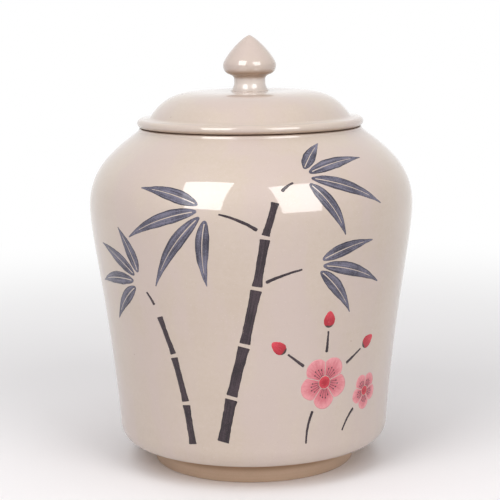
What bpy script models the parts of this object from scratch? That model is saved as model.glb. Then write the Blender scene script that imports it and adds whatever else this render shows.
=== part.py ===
"""Tea storage jar of polished clay, with a lift-off domed lid and an inlaid bamboo and blossom.

The pieces are the ones that a potter makes: the thrown jar, the thrown lid with its locating ring,
the turned knob that is luted into the lid, and the coloured clays that fill shallow carved pockets.
The jar stands on z = 0 with its axis on Z, and its decorated side faces -Y. All sizes are in metres.
"""

import math
from collections import namedtuple

import bmesh
import bpy

# The jar's outer wall: radii from the axis and heights above the table
BELLY_RADIUS = 0.1000
BELLY_HEIGHT = 0.1614
HEEL_RADIUS = 0.0842
HEEL_HEIGHT = 0.0266
UNDERCUT_RADIUS = 0.0751
UNDERCUT_HEIGHT = 0.0142
# How far each curve runs on straight before it bends
HEEL_PULL = 0.0065
WALL_PULL = 0.0762
BELLY_PULL_BELOW = 0.0200
BELLY_PULL_ABOVE = 0.0255
SHOULDER_PULL = 0.0149
# Slopes in degrees: the wall's lean out of upright at the heel, and the shoulder's rise at the rim
WALL_LEAN = 4.6
SHOULDER_SLOPE = 39.0

# The jar's wall, floor and foot ring
WALL_THICKNESS = 0.0060
FLOOR_THICKNESS = 0.0075
FLOOR_FLAT_RADIUS = 0.0560
FLOOR_CORNER_PULL = 0.0130
FOOT_RADIUS = 0.0624
FOOT_WIDTH = 0.0105
FOOT_HEIGHT = 0.0095
FOOT_TAPER = 0.0008
FOOT_EDGE = 0.0010
FOOT_FILLET_PULL = 0.0050
BASE_RECESS = 0.0060
BASE_FILLET = 0.0020

# The mouth: a thickened rim with a flat top that the lid rests on
RIM_HEIGHT = 0.2090
MOUTH_RADIUS = 0.0580
RIM_WIDTH = 0.0110
RIM_DEPTH = 0.0105
RIM_ROUND = 0.0017

# The lid
SEAT_GAP = 0.0003
RING_CLEARANCE = 0.0008
RING_DEPTH = 0.0140
RING_THICKNESS = 0.0050
RING_ROUND = 0.0015
BEAD_OVERHANG = 0.00075
BEAD_THICKNESS = 0.0053
BEAD_NOSE = 0.0028
BEAD_WIDTH = 0.00775
CREASE_RISE = 0.0005
DOME_RISE = 0.0161
DOME_EDGE_SLOPE = 56.0
DOME_EDGE_PULL = 0.0215
DOME_TOP_PULL = 0.0244
LID_THICKNESS = 0.0060
LID_HOLLOW_PULL = 0.0090
LID_HOLLOW_FLAT = 0.0300

# The knob, with heights above the top of the lid
KNOB_HEIGHT = 0.0341
KNOB_TIP_PULL = 0.0068
KNOB_TIP_SLOPE = 21.0
BULB_RADIUS = 0.0163
BULB_HEIGHT = 0.0160
BULB_PULL_ABOVE = 0.0035
BULB_PULL_BELOW = 0.0075
WAIST_RADIUS = 0.0096
WAIST_TOP = 0.0071
WAIST_BOTTOM = 0.0050
WAIST_PULL = 0.0043
KNOB_FOOT_RADIUS = 0.0118
FLARE_PULL = 0.0018
FLARE_TOE_PULL = 0.0009
KNOB_SEAT_DEPTH = 0.0015
LUTING_GAP = 0.0003

# The inlay: how deep the coloured clay goes, and the room round it in its pocket
INLAY_DEPTH = 0.0012
INLAY_CLEARANCE = 0.0003
# How far a wrapped outline reaches past the wall on each side, and a pocket's cutter above the wall
CUTTER_REACH = 0.0040
CUTTER_LIFT = 0.0010

# The drawing is laid out on a flat sheet, across from the jar's front and up from the wall's heel. The
# sheet goes round the jar by angle. It ends a margin above the drawing, and is fitted to the wall's height.
SHEET_RADIUS = 0.0955
SHEET_MARGIN = 0.0060
# The leaves: a lower fullness puts the widest part nearer the stalk, and a higher taper slims the ends
LEAF_WIDTH = 0.0082
LEAF_STALK_WIDTH = 0.0012
LEAF_TIP_WIDTH = 0.0007
LEAF_FULLNESS = 0.68
LEAF_TAPER = 1.15
LEAF_BEND = 24.0
SPRAY_HUB = 0.0065
# The culms' lengths flare only near their ends, and the more so the higher the power
CULM_NODE_GAP = 0.0022
CULM_FLARE = 0.0006
CULM_FLARE_POWER = 4
TWIG_WIDTH = 0.0020
TWIG_TIP_WIDTH = 0.0012
TWIG_START = 0.0056
# The blossoms and the buds
PETALS = 5
PETAL_ROUNDNESS = 0.8
STALK_BEND = 26.0
BUD_GAP = 0.0020
BUD_LENGTH = 0.0105
BUD_WIDTH = 0.0078
BUD_ROUNDNESS = 0.8

# Faceting: copies round a turned piece, and steps along its curves
TURNED_STEPS = 40
KNOB_STEPS = 26
WALL_STEPS = 4
SHOULDER_STEPS = 8
INNER_WALL_STEPS = 3
INNER_SHOULDER_STEPS = 5
LID_HOLLOW_STEPS = 4
KNOB_CURVE_STEPS = 6
ROUND_STEPS = 3
DOME_STEPS = 8
LEAF_STATIONS = 6
CULM_STATIONS = 4
TWIG_STATIONS = 3
BUD_STATIONS = 5
PETAL_POINTS = 6
EYE_POINTS = 10
AXIS_MERGE = 0.00001
WELD = 0.000001
SHARP_ANGLE = 32.0

# Where the strokes lie on the sheet, in metres. A turn is clockwise from straight up, in degrees, and a
# bend is the turn that a stroke gains.
Culm = namedtuple("Culm", "name across up lengths")
Spray = namedtuple("Spray", "name culm node turn length bend leaves")
Blossom = namedtuple("Blossom", "name across up radius notch eye_radius stalk_turn stalk_length")
Bud = namedtuple("Bud", "name turn distance")

# Each length of a culm between two nodes has a turn, a length and a width
CULMS = (
    Culm(
        "tall_culm",
        -0.0205,
        0.0050,
        (
            (13.0, 0.028, 0.0070),
            (15.0, 0.032, 0.0064),
            (12.0, 0.034, 0.0057),
            (9.0, 0.029, 0.0049),
            (16.0, 0.020, 0.0038),
        ),
    ),
    Culm(
        "short_culm",
        -0.0420,
        0.0020,
        ((-7.0, 0.025, 0.0048), (-12.0, 0.028, 0.0043), (-18.0, 0.024, 0.0036)),
    ),
)
# Each spray grows from a culm's node on a twig, and each of its leaves has a turn and a length
SPRAYS = (
    Spray(
        "top",
        "tall_culm",
        5,
        40.0,
        0.009,
        30.0,
        ((33.0, 0.028), (68.0, 0.046), (101.0, 0.050), (136.0, 0.038)),
    ),
    Spray(
        "left",
        "tall_culm",
        4,
        -54.0,
        0.023,
        -24.0,
        ((-66.0, 0.040), (-100.0, 0.050), (-133.0, 0.054), (-167.0, 0.040)),
    ),
    Spray(
        "right",
        "tall_culm",
        3,
        64.0,
        0.022,
        14.0,
        ((64.0, 0.036), (97.0, 0.046), (129.0, 0.036)),
    ),
    Spray(
        "short",
        "short_culm",
        3,
        -26.0,
        0.009,
        -14.0,
        ((-15.0, 0.030), (-51.0, 0.036), (-86.0, 0.040), (-122.0, 0.034)),
    ),
)
# Each blossom stands on a stalk that leaves it at a turn
BLOSSOMS = (
    Blossom("large_blossom", 0.0470, 0.0400, 0.0170, 0.0042, 0.0040, 204.0, 0.021),
    Blossom("small_blossom", 0.0830, 0.0290, 0.0120, 0.0030, 0.0030, 228.0, 0.016),
)
# Each bud stands on its own stalk at a distance from the large blossom's eye
BUDS = (Bud("left_bud", -52.0, 0.0345), Bud("high_bud", 1.0, 0.0345), Bud("right_bud", 58.0, 0.0350))


def clear_scene():
    """Start from an empty file, whatever the file held."""
    for thing in list(bpy.data.objects):
        bpy.data.objects.remove(thing, do_unlink=True)


def new_collection(name, hidden=False):
    collection = bpy.data.collections.new(name)
    collection.hide_render = hidden
    bpy.context.scene.collection.children.link(collection)
    return collection


def clay(name, colour, roughness):
    """Burnished clay: a plain glossy body colour, with no glaze over it."""
    material = bpy.data.materials.new(name)
    material.use_nodes = True
    shader = material.node_tree.nodes["Principled BSDF"]
    shader.inputs["Base Color"].default_value = (*colour, 1.0)
    shader.inputs["Roughness"].default_value = roughness
    shader.inputs["Metallic"].default_value = 0.0
    return material


def curve_points(start, start_pull, end_pull, end, steps, inset=0.0):
    """Points (radius, height) along a Bezier curve that runs up the clay, moved inwards by inset."""
    points = []
    for step in range(steps + 1):
        t = step / steps
        u = 1.0 - t
        weights = (u**3, 3 * u * u * t, 3 * u * t * t, t**3)
        slopes = (-u * u, u * u - 2 * u * t, 2 * u * t - t * t, t * t)
        controls = (start, start_pull, end_pull, end)
        radius, height = (sum(w * c[i] for w, c in zip(weights, controls)) for i in (0, 1))
        across, up = (sum(s * c[i] for s, c in zip(slopes, controls)) for i in (0, 1))
        length = math.hypot(across, up)
        points.append((radius - inset * up / length, height + inset * across / length))
    return points


def arc_points(centre, reach_out, reach_up, first, last, steps=ROUND_STEPS):
    """Points on an ellipse's arc, by its angles in degrees from the outward direction."""
    angles = [math.radians(first + (last - first) * i / steps) for i in range(steps + 1)]
    return [(centre[0] + reach_out * math.cos(a), centre[1] + reach_up * math.sin(a)) for a in angles]


def rim_radius():
    """The outer radius of the jar's rim."""
    return MOUTH_RADIUS + RIM_WIDTH


def outer_wall(inset=0.0, wall_steps=WALL_STEPS, shoulder_steps=SHOULDER_STEPS):
    """The wall from the heel up over the belly and the shoulder to the rim."""
    lean = math.radians(WALL_LEAN)
    slope = math.radians(SHOULDER_SLOPE)
    heel = (HEEL_RADIUS, HEEL_HEIGHT)
    belly = (BELLY_RADIUS, BELLY_HEIGHT)
    rim = (rim_radius(), RIM_HEIGHT - RIM_ROUND)
    heel_pull = (HEEL_RADIUS + WALL_PULL * math.sin(lean), HEEL_HEIGHT + WALL_PULL * math.cos(lean))
    below = (BELLY_RADIUS, BELLY_HEIGHT - BELLY_PULL_BELOW)
    above = (BELLY_RADIUS, BELLY_HEIGHT + BELLY_PULL_ABOVE)
    rim_pull = (rim[0] + SHOULDER_PULL * math.cos(slope), rim[1] - SHOULDER_PULL * math.sin(slope))
    wall = curve_points(heel, heel_pull, below, belly, wall_steps, inset)
    shoulder = curve_points(belly, above, rim_pull, rim, shoulder_steps, inset)
    return wall + shoulder[1:]


def turned(name, profile, steps, closed, collection, material=None):
    """A turned piece: its profile, outer side from top to bottom, spun once round the axis."""
    mesh = bpy.data.meshes.new(name)
    edges = [(i, i + 1) for i in range(len(profile) - 1)]
    if closed:
        edges.append((len(profile) - 1, 0))
    mesh.from_pydata([(radius, 0.0, height) for radius, height in profile], edges, [])
    piece = bpy.data.objects.new(name, mesh)
    collection.objects.link(piece)
    screw = piece.modifiers.new("turn", "SCREW")
    screw.steps = steps
    screw.render_steps = steps
    screw.use_merge_vertices = True
    screw.merge_threshold = AXIS_MERGE
    solid = bpy.data.meshes.new_from_object(piece.evaluated_get(bpy.context.evaluated_depsgraph_get()))
    piece.modifiers.clear()
    piece.data = solid
    bpy.data.meshes.remove(mesh)
    solid.name = name
    solid.shade_smooth()
    solid.set_sharp_from_angle(angle=math.radians(SHARP_ANGLE))
    if material:
        solid.materials.append(material)
    return piece


def jar_profile():
    """Inside floor, wall and mouth, over the rim, then down the outside to the foot and the base."""
    floor = BASE_RECESS + FLOOR_THICKNESS
    rim_bottom = RIM_HEIGHT - RIM_DEPTH
    inner = outer_wall(WALL_THICKNESS, INNER_WALL_STEPS, INNER_SHOULDER_STEPS)
    corner = curve_points(
        (FLOOR_FLAT_RADIUS, floor),
        (FLOOR_FLAT_RADIUS + FLOOR_CORNER_PULL, floor),
        (inner[0][0], inner[0][1] - HEEL_PULL),
        inner[0],
        ROUND_STEPS,
    )
    hollow = [point for point in inner[1:] if point[1] < rim_bottom - RIM_ROUND]
    in_centre = MOUTH_RADIUS + RIM_ROUND
    mouth = arc_points((in_centre, rim_bottom), RIM_ROUND, RIM_ROUND, 270, 180)
    mouth += arc_points((in_centre, RIM_HEIGHT - RIM_ROUND), RIM_ROUND, RIM_ROUND, 180, 90)
    out_centre = (rim_radius() - RIM_ROUND, RIM_HEIGHT - RIM_ROUND)
    edge = arc_points(out_centre, RIM_ROUND, RIM_ROUND, 90, 0)[:-1]
    outside = outer_wall()[::-1]
    heel = curve_points(
        (UNDERCUT_RADIUS, UNDERCUT_HEIGHT),
        (UNDERCUT_RADIUS + HEEL_PULL, UNDERCUT_HEIGHT),
        (HEEL_RADIUS, HEEL_HEIGHT - HEEL_PULL),
        (HEEL_RADIUS, HEEL_HEIGHT),
        ROUND_STEPS,
    )[-2::-1]
    foot_top = (FOOT_RADIUS + FOOT_TAPER, FOOT_HEIGHT)
    fillet = curve_points(
        (UNDERCUT_RADIUS, UNDERCUT_HEIGHT),
        (UNDERCUT_RADIUS - FOOT_FILLET_PULL, UNDERCUT_HEIGHT),
        (foot_top[0], FOOT_HEIGHT + (UNDERCUT_HEIGHT - FOOT_HEIGHT) / 2),
        foot_top,
        ROUND_STEPS,
    )[1:]
    foot_inner = FOOT_RADIUS - FOOT_WIDTH
    foot = [
        (FOOT_RADIUS, FOOT_EDGE),
        (FOOT_RADIUS - FOOT_EDGE, 0.0),
        (foot_inner + FOOT_EDGE, 0.0),
        (foot_inner, FOOT_EDGE),
        (foot_inner, BASE_RECESS - BASE_FILLET),
        (foot_inner - BASE_FILLET, BASE_RECESS),
        (0.0, BASE_RECESS),
    ]
    return [(0.0, floor)] + corner + hollow + mouth + edge + outside + heel + fillet + foot


def lid_seat_height():
    """The height of the lid's resting face."""
    return RIM_HEIGHT + SEAT_GAP


def lid_top_height():
    """The height of the lid's flat crown, where the knob stands."""
    return lid_seat_height() + BEAD_THICKNESS + DOME_RISE


def lid_profile():
    """The knob's seat, the dome and the bead down the outside, then the locating ring and the hollow."""
    seat = lid_seat_height()
    top = lid_top_height()
    slope = math.radians(DOME_EDGE_SLOPE)
    bead_radius = rim_radius() + BEAD_OVERHANG
    crease = (bead_radius - BEAD_WIDTH, seat + BEAD_THICKNESS + CREASE_RISE)
    seat_radius = KNOB_FOOT_RADIUS + LUTING_GAP
    knob_seat = [(0.0, top - KNOB_SEAT_DEPTH), (seat_radius, top - KNOB_SEAT_DEPTH)]
    edge_pull = (crease[0] - DOME_EDGE_PULL * math.cos(slope), crease[1] + DOME_EDGE_PULL * math.sin(slope))
    top_pull = (seat_radius + DOME_TOP_PULL, top)
    dome = curve_points(crease, edge_pull, top_pull, (seat_radius, top), DOME_STEPS)
    nose = (bead_radius - BEAD_NOSE, seat + BEAD_THICKNESS / 2)
    bead = arc_points(nose, BEAD_NOSE, BEAD_THICKNESS / 2, 90, -90, 2 * ROUND_STEPS)
    ring_outer = MOUTH_RADIUS - RING_CLEARANCE
    ring_inner = ring_outer - RING_THICKNESS
    ring_bottom = seat - RING_DEPTH
    ring = [
        (ring_outer, seat),
        (ring_outer, ring_bottom + RING_ROUND),
        (ring_outer - RING_ROUND, ring_bottom),
        (ring_inner + RING_ROUND, ring_bottom),
        (ring_inner, ring_bottom + RING_ROUND),
    ]
    hollow_top = top - LID_THICKNESS
    hollow_edge = (ring_inner, seat + BEAD_THICKNESS - CREASE_RISE)
    hollow = curve_points(
        hollow_edge,
        (ring_inner, hollow_edge[1] + LID_HOLLOW_PULL),
        (LID_HOLLOW_FLAT, hollow_top),
        (0.0, hollow_top),
        LID_HOLLOW_STEPS,
    )
    return knob_seat + dome[::-1] + bead + ring + hollow


def knob_profile():
    """The pointed bulb, the waist and the flared foot, down to the flat face that is luted on."""
    top = lid_top_height()
    slope = math.radians(KNOB_TIP_SLOPE)
    bulb = (BULB_RADIUS, top + BULB_HEIGHT)
    tip = (0.0, top + KNOB_HEIGHT)
    tip_pull = (KNOB_TIP_PULL * math.cos(slope), tip[1] - KNOB_TIP_PULL * math.sin(slope))
    upper = curve_points(tip, tip_pull, (BULB_RADIUS, bulb[1] + BULB_PULL_ABOVE), bulb, KNOB_CURVE_STEPS)
    waist = (WAIST_RADIUS, top + WAIST_TOP)
    under = curve_points(
        bulb,
        (BULB_RADIUS, bulb[1] - BULB_PULL_BELOW),
        (WAIST_RADIUS, waist[1] + WAIST_PULL),
        waist,
        KNOB_CURVE_STEPS,
    )[1:]
    flare_top = (WAIST_RADIUS, top + WAIST_BOTTOM)
    flare = curve_points(
        flare_top,
        (WAIST_RADIUS, flare_top[1] - FLARE_PULL),
        (KNOB_FOOT_RADIUS - FLARE_TOE_PULL, top + FLARE_TOE_PULL),
        (KNOB_FOOT_RADIUS, top),
        ROUND_STEPS,
    )
    base = top - KNOB_SEAT_DEPTH + LUTING_GAP
    return upper + under + flare + [(KNOB_FOOT_RADIUS, base), (0.0, base)]


def on_sheet(place, x, y):
    """A stroke's own point put in its place on the sheet: its across and up."""
    across, up, turn = place
    cosine, sine = math.cos(math.radians(turn)), math.sin(math.radians(turn))
    return across + x * cosine + y * sine, up + y * cosine - x * sine


def wall_table(strokes):
    """The outer wall's points, each with its place up the sheet and the wall's lean there."""
    points = outer_wall()
    leans = [math.atan2(b[0] - a[0], b[1] - a[1]) for a, b in zip(points, points[1:])]
    leans = leans[:1] + [(a + b) / 2 for a, b in zip(leans, leans[1:])] + leans[-1:]
    rises = [0.0]
    for a, b in zip(points, points[1:]):
        rises.append(rises[-1] + math.dist(a, b))
    drawn = max(on_sheet(place, x, y)[1] for _, _, place, outline in strokes for x, y in outline)
    stretch = (drawn + SHEET_MARGIN) / rises[-1]
    return [(rise * stretch, *point, lean) for rise, point, lean in zip(rises, points, leans)]


def on_wall(table, across, up, out=0.0):
    """A place on the sheet wrapped on to the wall, and moved straight out of the clay."""
    azimuth = across / SHEET_RADIUS
    index = 1
    while index < len(table) - 1 and table[index][0] < up:
        index += 1
    low, high = table[index - 1], table[index]
    share = (up - low[0]) / (high[0] - low[0])
    radius, height, lean = (a + share * (b - a) for a, b in zip(low[1:], high[1:]))
    radius += out * math.cos(lean)
    return radius * math.sin(azimuth), -radius * math.cos(azimuth), height - out * math.sin(lean)


def stroke_outline(length, half_width, bend, stations):
    """A brush stroke's outline: it starts at the origin, runs up Y and bends by bend degrees on its way.

    half_width gives half the width at each share of the length.
    """
    left, right = [], []
    for station in range(stations + 1):
        t = station / stations
        turn = math.radians(bend) * t
        if bend:
            radius = length / math.radians(bend)
            x, y = radius * (1.0 - math.cos(turn)), radius * math.sin(turn)
        else:
            x, y = 0.0, length * t
        half = half_width(t)
        left.append((x - half * math.cos(turn), y + half * math.sin(turn)))
        right.append((x + half * math.cos(turn), y - half * math.sin(turn)))
    return right + left[::-1]


def leaf_outline(length, bend):
    """A bamboo leaf: a short stalk, its widest part a third of the way, and a long drawn-out tip."""

    def half_width(t):
        body = math.sin(math.pi * t**LEAF_FULLNESS) ** LEAF_TAPER
        ends = LEAF_STALK_WIDTH * (1 - t) + LEAF_TIP_WIDTH * t
        return (ends + (LEAF_WIDTH - ends) * body) / 2

    return stroke_outline(length, half_width, bend, LEAF_STATIONS)


def culm_outline(length, width):
    """One length of bamboo between two nodes, a little wider at both ends."""

    def half_width(t):
        return width / 2 + CULM_FLARE * abs(2 * t - 1) ** CULM_FLARE_POWER

    return stroke_outline(length, half_width, 0.0, CULM_STATIONS)


def twig_outline(length, bend):
    """A thin tapering twig."""

    def half_width(t):
        return (TWIG_WIDTH * (1 - t) + TWIG_TIP_WIDTH * t) / 2

    return stroke_outline(length, half_width, bend, TWIG_STATIONS)


def bud_outline():
    """A closed bud, rounded at its base and pointed at its tip."""

    def half_width(t):
        body = math.sin(math.pi * t**BUD_ROUNDNESS) ** BUD_ROUNDNESS
        return (TWIG_TIP_WIDTH + (BUD_WIDTH - TWIG_TIP_WIDTH) * body) / 2

    return stroke_outline(BUD_LENGTH, half_width, 0.0, BUD_STATIONS)


def blossom_outline(radius, notch):
    """A blossom seen from the front: round petal ends with a notch between each two."""
    points = []
    for i in range(PETALS * PETAL_POINTS):
        angle = 2 * math.pi * i / (PETALS * PETAL_POINTS)
        reach = radius - notch * (1 - abs(math.sin(PETALS * angle / 2)) ** PETAL_ROUNDNESS)
        points.append((reach * math.sin(angle), reach * math.cos(angle)))
    return points


def disc_outline(radius):
    """A small round spot."""
    angles = [2 * math.pi * i / EYE_POINTS for i in range(EYE_POINTS)]
    return [(radius * math.sin(a), radius * math.cos(a)) for a in angles]


def grown(outline, distance):
    """The outline moved outwards by the same distance all round."""
    pairs = list(zip(outline, outline[1:] + outline[:1]))
    area = sum(a[0] * b[1] - b[0] * a[1] for a, b in pairs)
    side = math.copysign(1, area)
    normals = [(side * (b[1] - a[1]), side * (a[0] - b[0])) for a, b in pairs]
    normals = [(x / math.hypot(x, y), y / math.hypot(x, y)) for x, y in normals]
    moved = []
    for (x, y), before, after in zip(outline, normals[-1:] + normals[:-1], normals):
        reach = distance / (1 + before[0] * after[0] + before[1] * after[1])
        moved.append((x + reach * (before[0] + after[0]), y + reach * (before[1] + after[1])))
    return moved


def wrapped(name, outline, place, table, collection):
    """A flat outline cut from a thick sheet, turned, and wrapped on to the wall at its place.

    The sheet is triangulated first, so that its faces stay flat when they are wrapped.
    """
    curve = bpy.data.curves.new(name, "CURVE")
    curve.dimensions = "2D"
    curve.fill_mode = "BOTH"
    curve.extrude = CUTTER_REACH
    spline = curve.splines.new("POLY")
    spline.points.add(len(outline) - 1)
    for point, (x, y) in zip(spline.points, outline):
        point.co = (x, y, 0.0, 1.0)
    spline.use_cyclic_u = True
    sheet = bpy.data.objects.new(name + "_sheet", curve)
    collection.objects.link(sheet)
    mesh = bpy.data.meshes.new_from_object(sheet.evaluated_get(bpy.context.evaluated_depsgraph_get()))
    bpy.data.objects.remove(sheet)
    bpy.data.curves.remove(curve)
    work = bmesh.new()
    work.from_mesh(mesh)
    bmesh.ops.remove_doubles(work, verts=work.verts, dist=WELD)
    bmesh.ops.triangulate(work, faces=work.faces)
    for vertex in work.verts:
        x, y, out = vertex.co
        vertex.co = on_wall(table, *on_sheet(place, x, y), out)
    work.normal_update()
    bmesh.ops.recalc_face_normals(work, faces=work.faces)
    work.to_mesh(mesh)
    work.free()
    mesh.name = name
    piece = bpy.data.objects.new(name, mesh)
    collection.objects.link(piece)
    return piece


def boolean(piece, operation, other):
    """Cut a piece by another one, or keep only what the two share."""
    modifier = piece.modifiers.new(operation.lower(), "BOOLEAN")
    modifier.operation = operation
    modifier.solver = "EXACT"
    if isinstance(other, bpy.types.Collection):
        modifier.operand_type = "COLLECTION"
        modifier.collection = other
    else:
        modifier.object = other


def as_guide(piece):
    """Keep a cutter out of the model."""
    piece.hide_render = True
    piece.display_type = "WIRE"


def skin(name, depth, lift, collection):
    """A turned layer of the wall, from lift above its surface down to depth."""
    profile = outer_wall(-lift)[::-1] + outer_wall(depth)
    layer = turned(name, profile, TURNED_STEPS, True, collection)
    as_guide(layer)
    return layer


def walk(place, length, bend=0.0):
    """Where a stroke of this length and bend ends on the sheet: its across, up and turn."""
    across, up, turn = place
    middle = math.radians(turn + bend / 2)
    half_bend = math.radians(bend) / 2
    chord = length * (math.sin(half_bend) / half_bend if bend else 1.0)
    return across + chord * math.sin(middle), up + chord * math.cos(middle), turn + bend


def culm_strokes(nodes):
    """The culms' lengths. Their nodes' places are added to nodes, for the twigs."""
    strokes = []
    for culm in CULMS:
        across, up = culm.across, culm.up
        for number, (turn, length, width) in enumerate(culm.lengths, 1):
            place = (across, up, turn)
            strokes.append((f"{culm.name}_{number}", "brown", place, culm_outline(length, width)))
            across, up, _ = walk(place, length + CULM_NODE_GAP)
            nodes[culm.name, number] = (across, up)
    return strokes


def spray_strokes(nodes):
    """Each spray's twig and the leaves that fan out from the twig's end."""
    strokes = []
    for spray in SPRAYS:
        start = walk((*nodes[spray.culm, spray.node], spray.turn), TWIG_START)
        strokes.append((f"{spray.name}_twig", "brown", start, twig_outline(spray.length, spray.bend)))
        across, up, _ = walk(start, spray.length + SPRAY_HUB, spray.bend)
        for number, (turn, length) in enumerate(spray.leaves, 1):
            place = walk((across, up, turn), SPRAY_HUB)
            outline = leaf_outline(length, math.copysign(LEAF_BEND, turn))
            strokes.append((f"{spray.name}_leaf_{number}", "slate", place, outline))
    return strokes


def blossom_strokes():
    """The blossoms on their stalks, and the buds on theirs round the first blossom."""
    strokes = []
    for blossom in BLOSSOMS:
        place = (blossom.across, blossom.up, 0.0)
        strokes.append((blossom.name, "pink", place, blossom_outline(blossom.radius, blossom.notch)))
        middle = (blossom.across, blossom.up, blossom.stalk_turn)
        stalk = walk(middle, blossom.radius + BUD_GAP)
        outline = twig_outline(blossom.stalk_length, -STALK_BEND)
        strokes.append((f"{blossom.name}_stalk", "brown", stalk, outline))
    centre = BLOSSOMS[0]
    for bud in BUDS:
        middle = (centre.across, centre.up, bud.turn)
        stalk = walk(middle, centre.radius + BUD_GAP)
        outline = twig_outline(bud.distance - centre.radius - 2 * BUD_GAP, 0.0)
        strokes.append((f"{bud.name}_stalk", "brown", stalk, outline))
        strokes.append((bud.name, "red", walk(middle, bud.distance), bud_outline()))
    return strokes


def drawing():
    """Every inlaid stroke: its name, its clay, its place on the sheet, and its outline."""
    nodes = {}
    return culm_strokes(nodes) + spray_strokes(nodes) + blossom_strokes()


def make_inlay(clays, jar, parts, cutters, pockets):
    """Carve a pocket in the jar for each stroke, and fill it with coloured clay flush with the wall."""
    strokes = drawing()
    table = wall_table(strokes)
    filling = skin("filling_layer", INLAY_DEPTH, 0.0, cutters)
    carving = skin("carving_layer", INLAY_DEPTH + INLAY_CLEARANCE, CUTTER_LIFT, cutters)
    pieces = {}
    for name, colour, place, outline in strokes:
        piece = wrapped(name, outline, place, table, parts)
        piece.data.materials.append(clays[colour])
        boolean(piece, "INTERSECT", filling)
        pieces[name] = piece
        pocket = wrapped(f"{name}_pocket", grown(outline, INLAY_CLEARANCE), place, table, pockets)
        boolean(pocket, "INTERSECT", carving)
        as_guide(pocket)
    for blossom in BLOSSOMS:
        place = (blossom.across, blossom.up, 0.0)
        outline = disc_outline(blossom.eye_radius)
        eye = wrapped(f"{blossom.name}_eye", outline, place, table, parts)
        eye.data.materials.append(clays["red"])
        boolean(eye, "INTERSECT", filling)
        hole = wrapped(f"{blossom.name}_hole", grown(outline, INLAY_CLEARANCE), place, table, cutters)
        as_guide(hole)
        boolean(pieces[blossom.name], "DIFFERENCE", hole)
    boolean(jar, "DIFFERENCE", pockets)


def build():
    clear_scene()
    parts = new_collection("tea_storage_jar")
    cutters = new_collection("cutters", hidden=True)
    pockets = new_collection("inlay_pockets", hidden=True)
    body_clay = clay("burnished_clay", (0.61, 0.49, 0.41), 0.16)
    clays = {
        "brown": clay("brown_black_clay", (0.061, 0.042, 0.045), 0.22),
        "slate": clay("slate_grey_clay", (0.091, 0.084, 0.114), 0.22),
        "pink": clay("pink_clay", (0.68, 0.22, 0.26), 0.22),
        "red": clay("red_clay", (0.58, 0.045, 0.070), 0.22),
    }
    jar = turned("jar_body", jar_profile(), TURNED_STEPS, False, parts, body_clay)
    lid = turned("lid", lid_profile(), TURNED_STEPS, False, parts, body_clay)
    turned("lid_knob", knob_profile(), KNOB_STEPS, False, parts, body_clay).parent = lid
    make_inlay(clays, jar, parts, cutters, pockets)


build()
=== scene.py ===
# %% [markdown]
# # A tea storage jar of burnished clay
#
# The jar is thrown in warm beige clay and left without a glaze. Before the firing its wall is
# carved, the carving is filled with coloured clays, and the whole is rubbed with a smooth stone
# until it shines. This lesson dresses the plain solids of the jar in Blender. It makes smooth
# turned surfaces, lays the coloured strokes in the wall, mixes the clays, and sets up a small
# studio.
#
# The solids come first, because every new piece has to stay where its solid is.

import bisect
import math
from collections import namedtuple

import bmesh
import bpy
from mathutils import Euler, Matrix, Vector, noise
from mathutils.geometry import interpolate_bezier


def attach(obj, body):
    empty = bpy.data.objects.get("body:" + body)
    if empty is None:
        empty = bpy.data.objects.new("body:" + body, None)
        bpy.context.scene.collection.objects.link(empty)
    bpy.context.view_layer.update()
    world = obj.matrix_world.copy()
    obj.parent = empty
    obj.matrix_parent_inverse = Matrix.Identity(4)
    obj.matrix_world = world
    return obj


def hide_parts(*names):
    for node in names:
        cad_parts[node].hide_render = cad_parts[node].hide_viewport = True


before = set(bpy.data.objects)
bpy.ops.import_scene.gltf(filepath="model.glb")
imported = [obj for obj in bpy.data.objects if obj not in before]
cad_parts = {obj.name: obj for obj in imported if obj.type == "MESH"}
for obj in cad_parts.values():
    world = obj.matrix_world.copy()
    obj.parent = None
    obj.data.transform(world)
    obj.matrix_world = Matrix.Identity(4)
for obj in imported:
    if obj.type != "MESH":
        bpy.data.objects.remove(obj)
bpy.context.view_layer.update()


# %% [markdown]
# ## The outline of a thrown jar
#
# A potter sees a jar as one flowing line. It could be pulled from a cylinder and smoothed by a
# subdivision modifier, but such a surface only comes near its own points. Here the line is a chain
# of Bezier curves, each with its two end points and the two pulls that say how long it runs on
# straight, so every measured size is met. Points are pairs of a radius from the axis and a height
# above the table, in metres.

# %% Curves and rounds
def beside(point, out, up):
    """The place this far out from a point and above it, such as the pull of a curve's end."""
    return point[0] + out, point[1] + up


def curve(*controls, steps=24):
    """Points along one Bezier curve from its four control points."""
    start, start_pull, end_pull, end = (Vector(point) for point in controls)
    points = interpolate_bezier(start, start_pull, end_pull, end, steps + 1)
    return [tuple(point) for point in points]


def arc(centre, reach_out, reach_up, first, last, steps=10):
    """Points on an ellipse's arc, by its angles in degrees from the outward direction."""
    turns = [math.radians(first + (last - first) * i / steps) for i in range(steps + 1)]
    return [beside(centre, reach_out * math.cos(a), reach_up * math.sin(a)) for a in turns]


def quarter(centre, radius, first, last, steps=6):
    """Points on a rounded edge, which is a quarter of a circle."""
    return arc(centre, radius, radius, first, last, steps)


def inset(points, distance):
    """The line moved sideways, to the left of its own direction."""
    moved = []
    for i, point in enumerate(points):
        before, after = points[max(i - 1, 0)], points[min(i + 1, len(points) - 1)]
        across, up = after[0] - before[0], after[1] - before[1]
        length = math.hypot(across, up)
        moved.append(beside(point, -distance * up / length, distance * across / length))
    return moved


print("points on a rounded edge:", len(quarter((0.0, 0.0), 0.001, 0, 90)))

# %% [markdown]
# The wall leans out from the heel, turns at the belly, and comes in over the shoulder to the rim.
# Two curves are enough for it. Both pulls at the belly stand upright, so the curves meet there
# without a ridge.

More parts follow.
